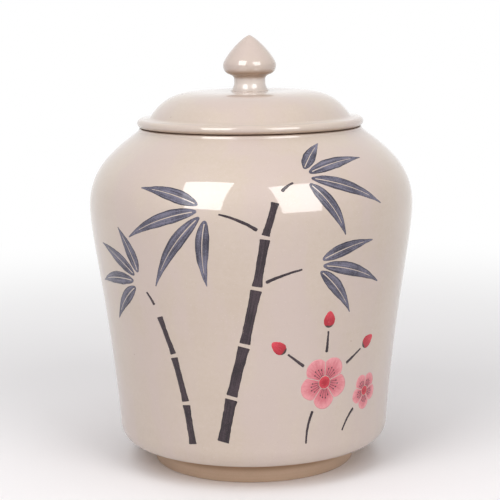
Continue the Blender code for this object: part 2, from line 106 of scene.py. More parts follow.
# %% Draw the wall
HEEL = (0.0842, 0.0266)
BELLY = (0.1000, 0.1614)
RIM_HEIGHT = 0.2090
RIM_RADIUS = 0.0690
RIM_ROUND = 0.0017
WALL_LEAN = math.radians(4.6)
SHOULDER_SLOPE = math.radians(39.0)
HEEL_PULL, RIM_PULL = 0.0762, 0.0149
BELLY_PULL_DOWN, BELLY_PULL_UP = 0.0200, 0.0255


def outer_wall():
    """The wall from the heel up to the rim."""
    rim = (RIM_RADIUS, RIM_HEIGHT - RIM_ROUND)
    heel_pull = beside(HEEL, HEEL_PULL * math.sin(WALL_LEAN), HEEL_PULL * math.cos(WALL_LEAN))
    out_pull, down_pull = RIM_PULL * math.cos(SHOULDER_SLOPE), RIM_PULL * math.sin(SHOULDER_SLOPE)
    rim_pull = beside(rim, out_pull, -down_pull)
    low = curve(HEEL, heel_pull, beside(BELLY, 0, -BELLY_PULL_DOWN), BELLY, steps=48)
    high = curve(BELLY, beside(BELLY, 0, BELLY_PULL_UP), rim_pull, rim, steps=40)
    return low + high[1:]


wall = outer_wall()
print("wall points:", len(wall), "widest in mm:", round(2000 * max(r for r, _ in wall), 2))

# %% [markdown]
# ## Turning a line into clay
#
# A turned piece is its outline spun once round the axis. A Screw modifier would turn it too, but
# a bmesh spin lets the zones of one outline have finishes of their own: the burnished outside, the
# bare foot and the matte inside. Merging the doubles then joins the zones and closes the poles.

# %% Spin a piece
ROUND_STEPS = 240
WELD = 0.000002


def as_piece(name, work, finishes, body, nodes):
    """Make the piece from its bmesh. It rides on its body and replaces the named solids."""
    mesh = bpy.data.meshes.new(name)
    work.to_mesh(mesh)
    work.free()
    mesh.shade_smooth()
    for finish in finishes:
        mesh.materials.append(finish)
    piece = bpy.data.objects.new(name, mesh)
    bpy.context.scene.collection.objects.link(piece)
    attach(piece, body)
    if nodes:
        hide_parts(*nodes)
    return piece


def spin_zones(zones, steps=ROUND_STEPS):
    """Spin each zone of an outline once round. A zone's place in the list is its material."""
    work = bmesh.new()
    for index, zone in enumerate(zones):
        old = set(work.faces)
        line = [work.verts.new((radius, 0.0, height)) for radius, height in zone]
        line += [work.edges.new(ends) for ends in zip(line, line[1:])]
        bmesh.ops.spin(
            work,
            geom=line,
            axis=(0, 0, 1),
            cent=(0, 0, 0),
            angle=2 * math.pi,
            steps=steps,
            use_merge=True,
        )
        for face in set(work.faces) - old:
            face.material_index = index
    bmesh.ops.remove_doubles(work, verts=work.verts, dist=WELD)
    bmesh.ops.recalc_face_normals(work, faces=work.faces)
    return work


print("one step of a spin in degrees:", 360 / ROUND_STEPS)

# %% [markdown]
# ## Maths that reads like maths
#
# A clay's colour could be painted as a picture, but a picture has a seam on a round jar and blurs
# from close by. A sum of noises and masks has neither fault. Written with nodes alone, such a sum
# is hard to read, so a socket is wrapped in a class whose operators add the Math nodes. Any other
# node comes from one method, which takes the node's type, then its settings, then its sockets.

# %% A socket that can be added and multiplied
OBJECT_PLACE, UV_PLACE = 3, 2  # outputs of the Texture Coordinate node
MIX_FIRST, MIX_SECOND, MIX_COLOUR = 6, 7, 2  # a Mix node's two colours in, and its colour out


class Wire:
    """A value on its way through a material's nodes."""

    def __init__(self, tree, socket=None):
        self.tree = tree
        self.socket = socket

    def node(self, kind, settings=None, inputs=None, output=0):
        """Add a node. Its settings come first, then the values or wires of its sockets."""
        node = self.tree.nodes.new("ShaderNode" + kind)
        for name, value in (settings or {}).items():
            setattr(node, name, value)
        for name, value in (inputs or {}).items():
            if isinstance(value, Wire):
                self.tree.links.new(value.socket, node.inputs[name])
            else:
                node.inputs[name].default_value = value
        return Wire(self.tree, node.outputs[output])

    def maths(self, operation, *values):
        """Add a Math node that works on the given values or wires."""
        return self.node("Math", {"operation": operation}, dict(enumerate(values)))

    def __add__(self, other):
        return self.maths("ADD", self, other)

    __radd__ = __add__

    def __sub__(self, other):
        return self.maths("SUBTRACT", self, other)

    def __rsub__(self, other):
        return self.maths("SUBTRACT", other, self)

    def __mul__(self, other):
        return self.maths("MULTIPLY", self, other)

    __rmul__ = __mul__

    def __abs__(self):
        return self.maths("ABSOLUTE", self)

    def between(self, low, high):
        """0 below low, 1 above high, and a smooth step from one to the other."""
        settings = {"interpolation_type": "SMOOTHSTEP", "clamp": True}
        return self.node("MapRange", settings, {"Value": self, "From Min": low, "From Max": high})

    def scaled(self, x, y, z):
        """A place stretched along its axes."""
        return self.node("VectorMath", {"operation": "MULTIPLY"}, {0: self, 1: (x, y, z)})

    def length(self):
        """How far a place is from the origin."""
        return self.node("VectorMath", {"operation": "LENGTH"}, {0: self}, 1)

    def grain(self, scale, detail=3.0, roughness=0.5):
        """Soft noise from about 0 to about 1, with this many lumps to a metre."""
        sockets = {"Vector": self, "Scale": scale, "Detail": detail, "Roughness": roughness}
        return self.node("TexNoise", None, sockets)

    def blend(self, first, second):
        """From the first colour to the second one as this value goes from 0 to 1."""
        first, second = (c if isinstance(c, Wire) else (*c, 1.0) for c in (first, second))
        sockets = {0: self, MIX_FIRST: first, MIX_SECOND: second}
        return self.node("Mix", {"data_type": "RGBA"}, sockets, MIX_COLOUR)


print("what a wire can do:", ", ".join(name for name in vars(Wire) if name[0] != "_"))

# %% [markdown]
# Every finish then takes two steps. The first makes a material and sets what is the same all over.
# The second links the wires to what changes over the surface. A height goes through a Bump node,
# because the mark of a tool or a brush is far too fine to be worth faces of its own.

# %% Start a finish and feed it
def new_finish(name, colour, roughness, **constants):
    """A material with its constants on the shader's own sockets. Its shader comes with it."""
    finish = bpy.data.materials.new(name)
    finish.use_nodes = True
    shader = finish.node_tree.nodes["Principled BSDF"]
    values = {"Base Color": (*colour, 1.0), "Roughness": roughness, **constants}
    for socket, value in values.items():
        shader.inputs[socket.replace("_", " ")].default_value = value
    return finish, shader


def feed(shader, **wires):
    """Link wires to the shader's sockets. Height has its distance in metres beside it."""
    tree = shader.id_data
    for name, wire in wires.items():
        socket = name.replace("_", " ")
        if name == "Height":
            value, distance = wire
            wire = value.node("Bump", None, {"Height": value, "Distance": distance}, 0)
            socket = "Normal"
        tree.links.new(wire.socket, shader.inputs[socket])


def place_and_height(finish):
    """Wires for the place on the piece, and for its height above the table."""
    place = Wire(finish.node_tree).node("TexCoord", output=OBJECT_PLACE)
    return place, place.node("SeparateXYZ", None, {0: place}, 2)


def band(height, middle, width):
    """1 at one height and 0 where that is a width away, above and below."""
    return (1 - abs(height - middle) * (1 / width)).between(0.0, 1.0)


print("materials that came with the solids:", len(bpy.data.materials))

# %% [markdown]
# ## The burnished clay
#
# Rubbed clay isn't one flat colour. It is softly clouded where it dried unevenly, with rosy streaks
# that run down it from the kiln's flame. It holds fine dark and pale grains and a few iron specks,
# and faint rings run round it from the wheel. Its gloss wanders a little too, and very shallow
# waves bend the edges of what it mirrors. All of that is noise on Object coordinates, stretched
# along the axis for the rings, because it then fits the whole jar with no seam. Some marks are
# found by their height, and they are painted light and shade: a brown line of painted shadow where
# the lid meets the rim, a painted golden shade under the knob's bulb and under the lid's bead, and
# a painted reflection that makes the knob's neck paler.
#
# A surface rubbed by hand has two glosses at once, a sharp one that mirrors the lamps, and a wide,
# faint one that glows round their images. One gloss of a middling roughness would blur the lamps
# away. So the shader's own gloss gives the first, and a coat with a rough face gives the second.

# %% Mix the burnished clay
CLAY_PALE = (0.529, 0.428, 0.354)
CLAY_WARM = (0.482, 0.377, 0.297)
CLAY_ROSY = (0.502, 0.391, 0.350)
DARK_GRAIN = (0.34, 0.24, 0.17)
PALE_GRAIN = (0.78, 0.70, 0.62)
IRON_BROWN = (0.20, 0.110, 0.070)
# painted shadow: the dark brown of the seam between the lid and the rim
SEAM_SHADE_BROWN = (0.17, 0.085, 0.045)
# painted shade: the golden brown of the creases under the knob's bulb and under the lid's bead
CREASE_SHADE_GOLD = (0.265, 0.148, 0.062)
# painted reflection: the pale tone of the knob's neck, as if it mirrored the bright lid
NECK_REFLECTION_PALE = (0.78, 0.69, 0.63)
CLAY_IOR = 1.90
HAND_SHEEN = {"Coat_Weight": 1.0, "Coat_Roughness": 0.50, "Coat_IOR": 1.60}
SEAM_HEIGHT, SEAM_WIDTH = 0.2092, 0.0009
SEAM_INNER, SEAM_OUTER = 0.0655, 0.0680
CREASE_HEIGHT, CREASE_WIDTH = 0.2411, 0.0034
BEAD_HEIGHT, BEAD_WIDTH = 0.2101, 0.0018
NECK_HEIGHT, NECK_WIDTH = 0.2352, 0.0062
WAVE_DEPTH = 0.00010


def iron_specks(place, density, size):
    """Tiny round spots. Each cell of the space has one, and about one cell in six shows it."""
    cells = place.node("TexVoronoi", None, {"Vector": place, "Scale": density}).socket.node.outputs
    distance, chance = Wire(place.tree, cells["Distance"]), Wire(place.tree, cells["Color"])
    shown = chance.node("SeparateXYZ", None, {0: chance}).between(0.82, 0.84)
    return (1 - distance.between(size * 0.5, size)) * shown


def burnished_clay():
    """The clay of the outside, the lid and the knob."""
    finish, shader = new_finish("burnished_clay", CLAY_PALE, 0.05, IOR=CLAY_IOR, **HAND_SHEEN)
    place, height = place_and_height(finish)
    clouds = place.grain(10.0, 4.0, 0.55)
    rings = place.scaled(5.0, 5.0, 300.0).grain(1.0, 4.0, 0.6)
    grains = place.grain(1300.0, 1.0)
    fine = place.grain(380.0, 4.0, 0.7)
    tone = clouds * 0.62 + rings * 0.12 + fine * 0.26
    colour = tone.between(0.34, 0.66).blend(CLAY_WARM, CLAY_PALE)
    streaks = place.scaled(28.0, 28.0, 9.0).grain(1.0, 4.0, 0.6)
    colour = (streaks.between(0.42, 0.62) * 0.75).blend(colour, CLAY_ROSY)
    colour = (grains.between(0.70, 0.76) * 0.22).blend(colour, DARK_GRAIN)
    colour = ((1 - grains).between(0.70, 0.76) * 0.20).blend(colour, PALE_GRAIN)
    # painted reflection: the knob's neck and the lid round its foot are painted paler
    colour = (band(height, NECK_HEIGHT, NECK_WIDTH) * 0.8).blend(colour, NECK_REFLECTION_PALE)
    # painted shade: golden brown under the knob's bulb and, fainter, under the lid's bead
    under_bulb = band(height, CREASE_HEIGHT, CREASE_WIDTH)
    crease_shade = under_bulb + band(height, BEAD_HEIGHT, BEAD_WIDTH) * 0.47
    colour = (crease_shade * (0.82 + fine * 0.30)).blend(colour, CREASE_SHADE_GOLD)
    # painted shadow: a dark brown line in the seam just outside the mouth, which is also made a
    # little rougher
    past_mouth = place.scaled(1.0, 1.0, 0.0).length().between(SEAM_INNER, SEAM_OUTER)
    seam_shade = band(height, SEAM_HEIGHT, SEAM_WIDTH).between(0.0, 0.8) * past_mouth
    colour = (seam_shade * 0.85).blend(colour, SEAM_SHADE_BROWN)
    colour = (iron_specks(place, 85.0, 0.045) * 0.7).blend(colour, IRON_BROWN)
    smears = place.scaled(30.0, 30.0, 90.0).grain(1.0, 4.0, 0.65)
    waves = place.grain(26.0, 2.0)
    feed(
        shader,
        Base_Color=colour,
        Roughness=0.024 + smears * 0.040 + grains.between(0.62, 0.74) * 0.08 + seam_shade * 0.3,
        Height=(waves + rings * 0.010 + fine * 0.006, WAVE_DEPTH),
    )
    return finish


clay_outside = burnished_clay()
print("nodes in the burnished clay:", len(clay_outside.node_tree.nodes))

# %% [markdown]
# ## The bare clay
#
# The foot was turned with an iron tool and only wiped, so it is duller than the wall. Its browner
# colour is painted warm bounce light, and a painted golden shade lies in the hollow above the foot
# ring. The inside was never touched again after the throwing, and it keeps the soft ridges that the
# fingers left. Two finishes could be written out, but both come from one recipe with other numbers,
# so one function mixes them.

# %% Mix the bare clays
GRIT_BROWN = (0.24, 0.16, 0.11)
# painted shade: the golden brown of the hollow under the heel, above the foot ring
HEEL_SHADE_GOLD = (0.26, 0.135, 0.055)
HEEL_CREASE, HEEL_WIDTH = 0.0100, 0.0045
TOOL_MARKS, TOOL_DEPTH = 700.0, 0.00004
FINGER_MARKS, FINGER_DEPTH = 160.0, 0.00035


def bare_clay(name, dark, pale, ridges, depth, dullness):
    """Unpolished clay. Ridges says how many rings there are to a metre, and depth how deep."""
    finish, shader = new_finish(name, pale, dullness)
    place, height = place_and_height(finish)
    clouds = place.grain(22.0, 5.0, 0.65)
    rings = place.scaled(5.0, 5.0, ridges).grain(1.0, 3.0, 0.6)
    grit = place.grain(900.0, 3.0, 0.7)
    tone = clouds * 0.45 + rings * 0.30 + grit * 0.25
    colour = tone.between(0.34, 0.66).blend(dark, pale)
    colour = (grit.between(0.64, 0.74) * 0.35).blend(colour, GRIT_BROWN)
    # painted shade: golden brown in the hollow above the foot ring
    crease_shade = band(height, HEEL_CREASE, HEEL_WIDTH) * (0.60 + clouds * 0.30)
    feed(
        shader,
        Base_Color=crease_shade.blend(colour, HEEL_SHADE_GOLD),
        Roughness=dullness + (grit - 0.5) * 0.25,
        Height=(rings + grit * 0.15, depth),
    )
    return finish


# painted light: the foot's browner colours stand in for warm light bounced into its shade
foot_colours = (0.545, 0.386, 0.270), (0.617, 0.447, 0.324)
inside_colours = (0.48, 0.370, 0.290), (0.57, 0.455, 0.368)
clay_foot = bare_clay("wiped_foot_clay", *foot_colours, TOOL_MARKS, TOOL_DEPTH, 0.42)
clay_inside = bare_clay("matte_inside_clay", *inside_colours, FINGER_MARKS, FINGER_DEPTH, 0.60)
print("finishes:", [m.name for m in bpy.data.materials])

# %% [markdown]
# ## The jar
#
# From the rim's flat top the outside runs over the shoulder and down to the rounded heel, where the
# burnishing stops. The foot ring and the recessed base are bare. Inside, the wall follows the
# outside 6 mm further in, and the mouth is thickened for the lid to sit on. A Solidify modifier
# could make the inside, but it can't thicken the mouth or flatten the floor, so the inside is a
# line of its own.
#
# The coloured clays lie flush with the burnished wall, so the wall itself is drawn a hair's breadth
# further in, and the strokes' faces then show and not the wall under them.

# %% The outside and the foot
WALL_HAIR = 0.00003
UNDERCUT = (0.0751, 0.0142)
HEEL_ROUND = 0.0065
BASE_HEIGHT, BASE_ROUND = 0.0060, 0.0020
FOOT_RADIUS, FOOT_INSIDE = 0.0624, 0.0519
FOOT_TOP, FOOT_FLARE = 0.0095, 0.0008
FOOT_ROUND = 0.0010
FILLET_PULL = 0.0050


def outside_zone():
    """From the outer edge of the rim's flat top over the wall to the undercut of the heel."""
    rim_top = quarter((RIM_RADIUS - RIM_ROUND, RIM_HEIGHT - RIM_ROUND), RIM_ROUND, 90, 0, 10)
    heel_pull, undercut_pull = beside(HEEL, 0, -HEEL_ROUND), beside(UNDERCUT, HEEL_ROUND, 0)
    heel = curve(UNDERCUT, undercut_pull, heel_pull, HEEL, steps=16)
    return rim_top + inset(wall, WALL_HAIR)[::-1][1:] + heel[::-1][1:]


def foot_zone():
    """From the undercut down to the foot ring, round it, and in under the base to the axis."""
    foot_top = (FOOT_RADIUS + FOOT_FLARE, FOOT_TOP)
    top_pull = (foot_top[0], (FOOT_TOP + UNDERCUT[1]) / 2)
    fillet = curve(UNDERCUT, beside(UNDERCUT, -FILLET_PULL, 0), top_pull, foot_top, steps=14)
    toe = quarter((FOOT_RADIUS - FOOT_ROUND, FOOT_ROUND), FOOT_ROUND, 0, -90)
    ball = quarter((FOOT_INSIDE + FOOT_ROUND, FOOT_ROUND), FOOT_ROUND, -90, -180)
    corner = quarter((FOOT_INSIDE - BASE_ROUND, BASE_HEIGHT - BASE_ROUND), BASE_ROUND, 0, 90)
    base = [(radius, BASE_HEIGHT) for radius in (0.036, 0.024, 0.012, 0.0)]
    return fillet + toe + ball + corner + base


print("outside points:", len(outside_zone()), "foot points:", len(foot_zone()))

# %% [markdown]
# The inside starts in the middle of the floor, turns up into the wall, and ends where the outside
# began, so that the three zones close the shell.

# %% Throw the jar
WALL_THICKNESS = 0.0060
FLOOR_HEIGHT = 0.0135
FLOOR_EDGE = (0.0560, FLOOR_HEIGHT)
FLOOR_PULL = 0.0130
MOUTH_RADIUS = 0.0580
RIM_BOTTOM = 0.1985


def inside_zone(rim_end):
    """From the axis over the floor, up the wall and the mouth, and over the rim's flat top."""
    hollow = [p for p in inset(wall, WALL_THICKNESS) if p[1] < RIM_BOTTOM - RIM_ROUND]
    floor_line = [(radius, FLOOR_HEIGHT) for radius in (0.0, 0.012, 0.024, 0.036, 0.046)]
    wall_pull = beside(hollow[0], 0, -HEEL_ROUND)
    turn = curve(FLOOR_EDGE, beside(FLOOR_EDGE, FLOOR_PULL, 0), wall_pull, hollow[0], steps=14)
    under_rim = quarter((MOUTH_RADIUS + RIM_ROUND, RIM_BOTTOM), RIM_ROUND, 270, 180)
    lip = quarter((MOUTH_RADIUS + RIM_ROUND, RIM_HEIGHT - RIM_ROUND), RIM_ROUND, 180, 90)
    return floor_line + turn + hollow[1:] + under_rim + lip + [rim_end]


outside = outside_zone()
jar_work = spin_zones((outside, foot_zone(), inside_zone(outside[0])))
jar_clays = (clay_outside, clay_foot, clay_inside)
jar = as_piece("jar", jar_work, jar_clays, "jar", ["jar_body"])
print("jar faces:", len(jar.data.polygons))

# %% [markdown]
# ## The lid
#
# The lid is a low dome over a rounded bead that hangs just past the rim. A ring below it drops into
# the mouth and keeps it centred. A squashed sphere would make the dome, but it would meet the bead
# at the wrong slope, so the dome is one curve that ends at the slope measured there.

# %% Throw the lid
SEAT = 0.2093
LID_TOP = 0.2307
LID_THICKNESS = 0.0060
BEAD_RADIUS, BEAD_THICKNESS, BEAD_NOSE = 0.06975, 0.0053, 0.0028
DOME_EDGE = (BEAD_RADIUS - 0.00775, SEAT + BEAD_THICKNESS + 0.0005)
DOME_SLOPE = math.radians(56.0)
DOME_TOP_PULL, DOME_EDGE_PULL = 0.0247, 0.0215
RING_RADIUS, RING_INSIDE, RING_ROUND = 0.0572, 0.0522, 0.0015
RING_DEPTH = 0.0140
HOLLOW_PULL = 0.0090
HOLLOW_FLAT = 0.0300
KNOB_FOOT = 0.0118
KNOB_SEAT = 0.0015
LUTING_LINE = 0.00005


def lid_outside():
    """From the knob's seat over the dome and round the bead."""
    collar = (KNOB_FOOT + LUTING_LINE, LID_TOP)
    in_pull, up_pull = DOME_EDGE_PULL * math.cos(DOME_SLOPE), DOME_EDGE_PULL * math.sin(DOME_SLOPE)
    edge_pull = beside(DOME_EDGE, -in_pull, up_pull)
    dome = curve(collar, beside(collar, DOME_TOP_PULL, 0), edge_pull, DOME_EDGE, steps=56)
    nose = (BEAD_RADIUS - BEAD_NOSE, SEAT + BEAD_THICKNESS / 2)
    bead = arc(nose, BEAD_NOSE, BEAD_THICKNESS / 2, 90, -90, 22)
    return [(0.0, LID_TOP - KNOB_SEAT), (collar[0], LID_TOP - KNOB_SEAT)] + dome + bead


def lid_inside(bead_end):
    """From the bead's underside round the ring, and up over the hollow to the axis."""
    bottom = SEAT - RING_DEPTH + RING_ROUND
    outer = quarter((RING_RADIUS - RING_ROUND, bottom), RING_ROUND, 0, -90)
    inner = quarter((RING_INSIDE + RING_ROUND, bottom), RING_ROUND, 270, 180)
    edge, crown = (RING_INSIDE, SEAT + BEAD_THICKNESS - 0.0005), (0.0, LID_TOP - LID_THICKNESS)
    hollow = curve(edge, beside(edge, 0, HOLLOW_PULL), (HOLLOW_FLAT, crown[1]), crown, steps=30)
    return [bead_end, (RING_RADIUS, SEAT)] + outer + inner + hollow


lid_line = lid_outside()
lid_work = spin_zones((lid_line, lid_inside(lid_line[-1])))
lid = as_piece("jar_lid", lid_work, (clay_outside, clay_inside), "lid", ["lid"])
print("lid faces:", len(lid.data.polygons))

# %% [markdown]
# ## The knob
#
# The knob is a pointed bud on a waist. It flares into the dome, so that thumb and fingers find it,
# and so that it seems to grow out of the lid. It could be part of the lid's own line, but it is
# turned by itself and luted on, and the thin line round its foot has to stay.

# %% Turn the knob
KNOB_STEPS = 96
KNOB_TIP = (0.0, LID_TOP + 0.0341)
KNOB_BULB = (0.0163, LID_TOP + 0.0160)
KNOB_WAIST = (0.0096, LID_TOP + 0.0071)
KNOB_NECK = (KNOB_WAIST[0], LID_TOP + 0.0050)
KNOB_TOE = (KNOB_FOOT, LID_TOP)
TIP_SLOPE = math.radians(21.0)
TIP_PULL, BULB_PULL_UP, BULB_PULL_DOWN = 0.0068, 0.0035, 0.0075
WAIST_PULL, NECK_PULL, TOE_PULL = 0.0043, 0.0018, 0.0009


def knob_outline():
    """From the tip round the bulb, down the waist and the flare, and in under the knob."""
    tip_pull = beside(KNOB_TIP, TIP_PULL * math.cos(TIP_SLOPE), -TIP_PULL * math.sin(TIP_SLOPE))
    bulb_up, bulb_down = beside(KNOB_BULB, 0, BULB_PULL_UP), beside(KNOB_BULB, 0, -BULB_PULL_DOWN)
    upper = curve(KNOB_TIP, tip_pull, bulb_up, KNOB_BULB, steps=28)
    under = curve(KNOB_BULB, bulb_down, beside(KNOB_WAIST, 0, WAIST_PULL), KNOB_WAIST, steps=24)
    neck_pull, toe_pull = beside(KNOB_NECK, 0, -NECK_PULL), beside(KNOB_TOE, -TOE_PULL, TOE_PULL)
    flare = curve(KNOB_NECK, neck_pull, toe_pull, KNOB_TOE, steps=14)
    base = LID_TOP - KNOB_SEAT + LUTING_LINE
    return upper + under[1:] + flare + [(KNOB_FOOT, base), (0.0, base)]


knob_work = spin_zones([knob_outline()], KNOB_STEPS)
knob = as_piece("bud_knob", knob_work, (clay_outside,), "lid", ["lid_knob"])
print("knob faces:", len(knob.data.polygons))

# %% [markdown]
# ## The sheet that the drawing is made on
#
# The bamboo and the blossoms are first laid out flat, as on paper: across from the jar's front, and
# up from the heel. They could be placed by angle and height, but a stroke would then change its
# length wherever the wall curves. Every stroke starts at a place with a turn, clockwise from
# straight up, and a bend is the turn it gains.

# %% Lay out the strokes
Culm = namedtuple("Culm", "name across up lengths")
Spray = namedtuple("Spray", "name culm node turn length bend leaves")
Blossom = namedtuple("Blossom", "name across up radius notch eye_radius stalk_turn stalk_length")
Bud = namedtuple("Bud", "name turn distance")

# Each length of a culm has its turn, its length and its width.
tall_lengths = (
    (13.0, 0.028, 0.0070),
    (15.0, 0.032, 0.0064),
    (12.0, 0.034, 0.0057),
    (9.0, 0.029, 0.0049),
    (16.0, 0.020, 0.0038),
)
short_lengths = ((-7.0, 0.025, 0.0048), (-12.0, 0.028, 0.0043), (-18.0, 0.024, 0.0036))
CULMS = (
    Culm("tall_culm", -0.0205, 0.0050, tall_lengths),
    Culm("short_culm", -0.0420, 0.0020, short_lengths),
)
# Each leaf has its turn and its length.
top_leaves = ((33.0, 0.028), (68.0, 0.046), (101.0, 0.050), (136.0, 0.038))
left_leaves = ((-66.0, 0.040), (-100.0, 0.050), (-133.0, 0.054), (-167.0, 0.040))
right_leaves = ((64.0, 0.036), (97.0, 0.046), (129.0, 0.036))
short_leaves = ((-15.0, 0.030), (-51.0, 0.036), (-86.0, 0.040), (-122.0, 0.034))
SPRAYS = (
    Spray("top", "tall_culm", 5, 40.0, 0.009, 30.0, top_leaves),
    Spray("left", "tall_culm", 4, -54.0, 0.023, -24.0, left_leaves),
    Spray("right", "tall_culm", 3, 64.0, 0.022, 14.0, right_leaves),
    Spray("short", "short_culm", 3, -26.0, 0.009, -14.0, short_leaves),
)
BLOSSOMS = (
    Blossom("large_blossom", 0.0470, 0.0400, 0.0170, 0.0042, 0.0040, 204.0, 0.021),
    Blossom("small_blossom", 0.0830, 0.0290, 0.0120, 0.0030, 0.0030, 228.0, 0.016),
)
BUDS = (
    Bud("left_bud", -52.0, 0.0345),
    Bud("high_bud", 1.0, 0.0345),
    Bud("right_bud", 58.0, 0.0350),
)
print("leaves:", sum(len(s.leaves) for s in SPRAYS), "blossoms:", len(BLOSSOMS), "buds:", len(BUDS))

# %% [markdown]
# A stroke of the brush is a strip: how far along it a point is, and how far to its side. The strip
# may bend, so its own points go round an arc. Three small steps then take a point from the stroke
# to the sheet, and from the sheet to the wall. The sheet goes round the jar by angle, and its
# height is fitted to the wall. A Shrinkwrap modifier could press flat strokes on to the wall, but
# it would squeeze those that lie far round the side.

# %% From a stroke to the wall
SHEET_RADIUS = 0.0955
SHEET_HEIGHT = 0.1995


def walk(place, length, bend=0.0):
    """Where a stroke of this length and bend ends on the sheet: its across, up and turn."""
    across, up, turn = place
    middle, half_bend = math.radians(turn + bend / 2), math.radians(bend) / 2
    chord = length * (math.sin(half_bend) / half_bend if bend else 1.0)
    return across + chord * math.sin(middle), up + chord * math.cos(middle), turn + bend


def along(length, bend, t, side):
    """A stroke's point: t is its share of the length, and side is metres to the right."""
    turn = math.radians(bend) * t
    if not bend:
        return side, length * t
    radius = length / math.radians(bend)
    return radius * (1 - math.cos(turn)) + side * math.cos(turn), (radius - side) * math.sin(turn)


def on_sheet(place, x, y):
    """A stroke's point as a place on the sheet."""
    across, up, turn = place
    cosine, sine = math.cos(math.radians(turn)), math.sin(math.radians(turn))
    return across + x * cosine + y * sine, up + y * cosine - x * sine


wall_rise = [0.0]
for low, high in zip(wall, wall[1:]):
    wall_rise.append(wall_rise[-1] + math.dist(low, high))


def on_wall(across, up, out=0.0):
    """A place on the sheet wrapped on to the wall, and moved out of the clay."""
    azimuth, rise = across / SHEET_RADIUS, up * wall_rise[-1] / SHEET_HEIGHT
    index = min(max(bisect.bisect(wall_rise, rise), 1), len(wall) - 1)
    share = (rise - wall_rise[index - 1]) / (wall_rise[index] - wall_rise[index - 1])
    below, above = Vector(wall[index - 1]), Vector(wall[index])
    lean = (above - below).normalized()
    radius, height = below.lerp(above, share) + out * Vector((lean.y, -lean.x))
    return radius * math.sin(azimuth), -radius * math.cos(azimuth), height


print("wall length in mm:", round(1000 * wall_rise[-1], 2))

# %% [markdown]
# ## The coloured clays
#
# Slate grey for the leaves, brown-black for the stems, pink for the petals and red for the buds.
# Each is brushed into its carving as thick slip, so it keeps streaks along the stroke. Noise in
# space would run straight through a bent leaf, so the streaks follow the stroke's UV map, whose U
# goes across and whose V goes along it. A whole number added to U gives each stroke streaks of its
# own, and the fraction still says how far across a point is.

# %% Read a stroke's own map
SLIP_IOR = 1.50
SLIP_GLOSS = 0.13
STREAK_DEPTH = 0.00002


def stroke_wires(finish):
    """The place in space, the place in the stroke, and the shares across and along the stroke."""
    start = Wire(finish.node_tree)
    place = start.node("TexCoord", output=OBJECT_PLACE)
    stroke = start.node("TexCoord", output=UV_PLACE)
    parts = stroke.node("SeparateXYZ", None, {0: stroke}).socket.node.outputs
    across = start.maths("FRACT", Wire(start.tree, parts[0]))
    return place, stroke, across, Wire(start.tree, parts[1])


print("depth of a brush streak in mm:", 1000 * STREAK_DEPTH)

# %% [markdown]
# Slate and brown slip is thin at the edges of a stroke, so some of the wall's own clay is smeared
# into it there when it is scraped flush. One recipe serves both, and only the colours, the streaks
# and the smear differ.

# %% Mix the slate and the brown clay
def brushed_clay(name, dark, pale, streaks, smear):
    """Slate or brown clay: dark and grainy, with pale brush streaks along the stroke."""
    finish, shader = new_finish(name, dark, SLIP_GLOSS, IOR=SLIP_IOR)
    place, stroke, across, _ = stroke_wires(finish)
    brush = stroke.scaled(*streaks, 1.0).grain(1.0, 4.0, 0.62)
    pools = place.grain(90.0, 4.0, 0.6)
    granules = place.grain(1100.0, 3.0, 0.7)
    edge = abs(across - 0.5) * 2
    tone = brush * 0.46 + pools * 0.30 + granules * 0.24 - edge.between(0.70, 1.0) * 0.10
    colour = tone.between(0.38, 0.62).blend(dark, pale)
    worn = (brush * 0.65 + granules * 0.35).between(0.61, 0.68) * (0.35 + edge * 0.65)
    feed(
        shader,
        Base_Color=(worn * smear).blend(colour, CLAY_WARM),
        Roughness=0.09 + brush * 0.07 + worn * 0.10,
        Height=(brush * 0.5 + granules * 0.3, STREAK_DEPTH),
    )
    return finish


slate_colours = (0.028, 0.025, 0.043), (0.185, 0.175, 0.240)
brown_colours = (0.012, 0.005, 0.009), (0.056, 0.034, 0.044)
slate = brushed_clay("slate_clay", *slate_colours, (11.0, 1.6), 0.70)
brown = brushed_clay("brown_clay", *brown_colours, (6.0, 1.0), 0.45)
print("brushed clays:", slate.name, brown.name)

# %% [markdown]
# A petal is filled wet, and the slip pools at its heart, so it is deep red there and pales towards
# the end. A bud is the same with a brown cap where it leaves its stalk. The cap could be a piece
# of its own, but on a bud of a centimetre it is only a dab of the brush.

# %% Mix the pink and the red clay
CAP_BROWN = (0.045, 0.026, 0.026)


def petal_clay(name, heart, rim, spot, cap=0.0):
    """Pink or red clay, from its heart to its rim. A cap is the share of a bud that is brown."""
    finish, shader = new_finish(name, heart, SLIP_GLOSS, IOR=SLIP_IOR)
    place, stroke, _, length = stroke_wires(finish)
    brush = stroke.scaled(11.0, 1.6, 1.0).grain(1.0, 3.0, 0.6)
    pools = place.grain(160.0, 4.0, 0.6)
    granules = place.grain(1100.0, 3.0, 0.7)
    tone = length * 0.75 + (brush - 0.5) * 0.65 + (pools - 0.5) * 0.55
    colour = tone.between(0.10, 0.95).blend(heart, rim)
    colour = (granules.between(0.58, 0.70) * 0.22).blend(colour, spot)
    if cap:
        base = 1 - (length + (brush - 0.5) * 0.25).between(cap - 0.04, cap + 0.04)
        colour = base.blend(colour, CAP_BROWN)
    feed(
        shader,
        Base_Color=colour,
        Roughness=0.09 + brush * 0.08,
        Height=(brush * 0.5 + granules * 0.3, STREAK_DEPTH),
    )
    return finish


pink_colours = (0.56, 0.120, 0.155), (0.76, 0.320, 0.340), (0.86, 0.62, 0.58)
red_colours = (0.40, 0.010, 0.026), (0.66, 0.050, 0.078), (0.75, 0.35, 0.33)
pink = petal_clay("pink_clay", *pink_colours)
red = petal_clay("red_clay", *red_colours)
red_bud = petal_clay("bud_red_clay", *red_colours, cap=0.13)
print("petal clays:", pink.name, red.name, red_bud.name)

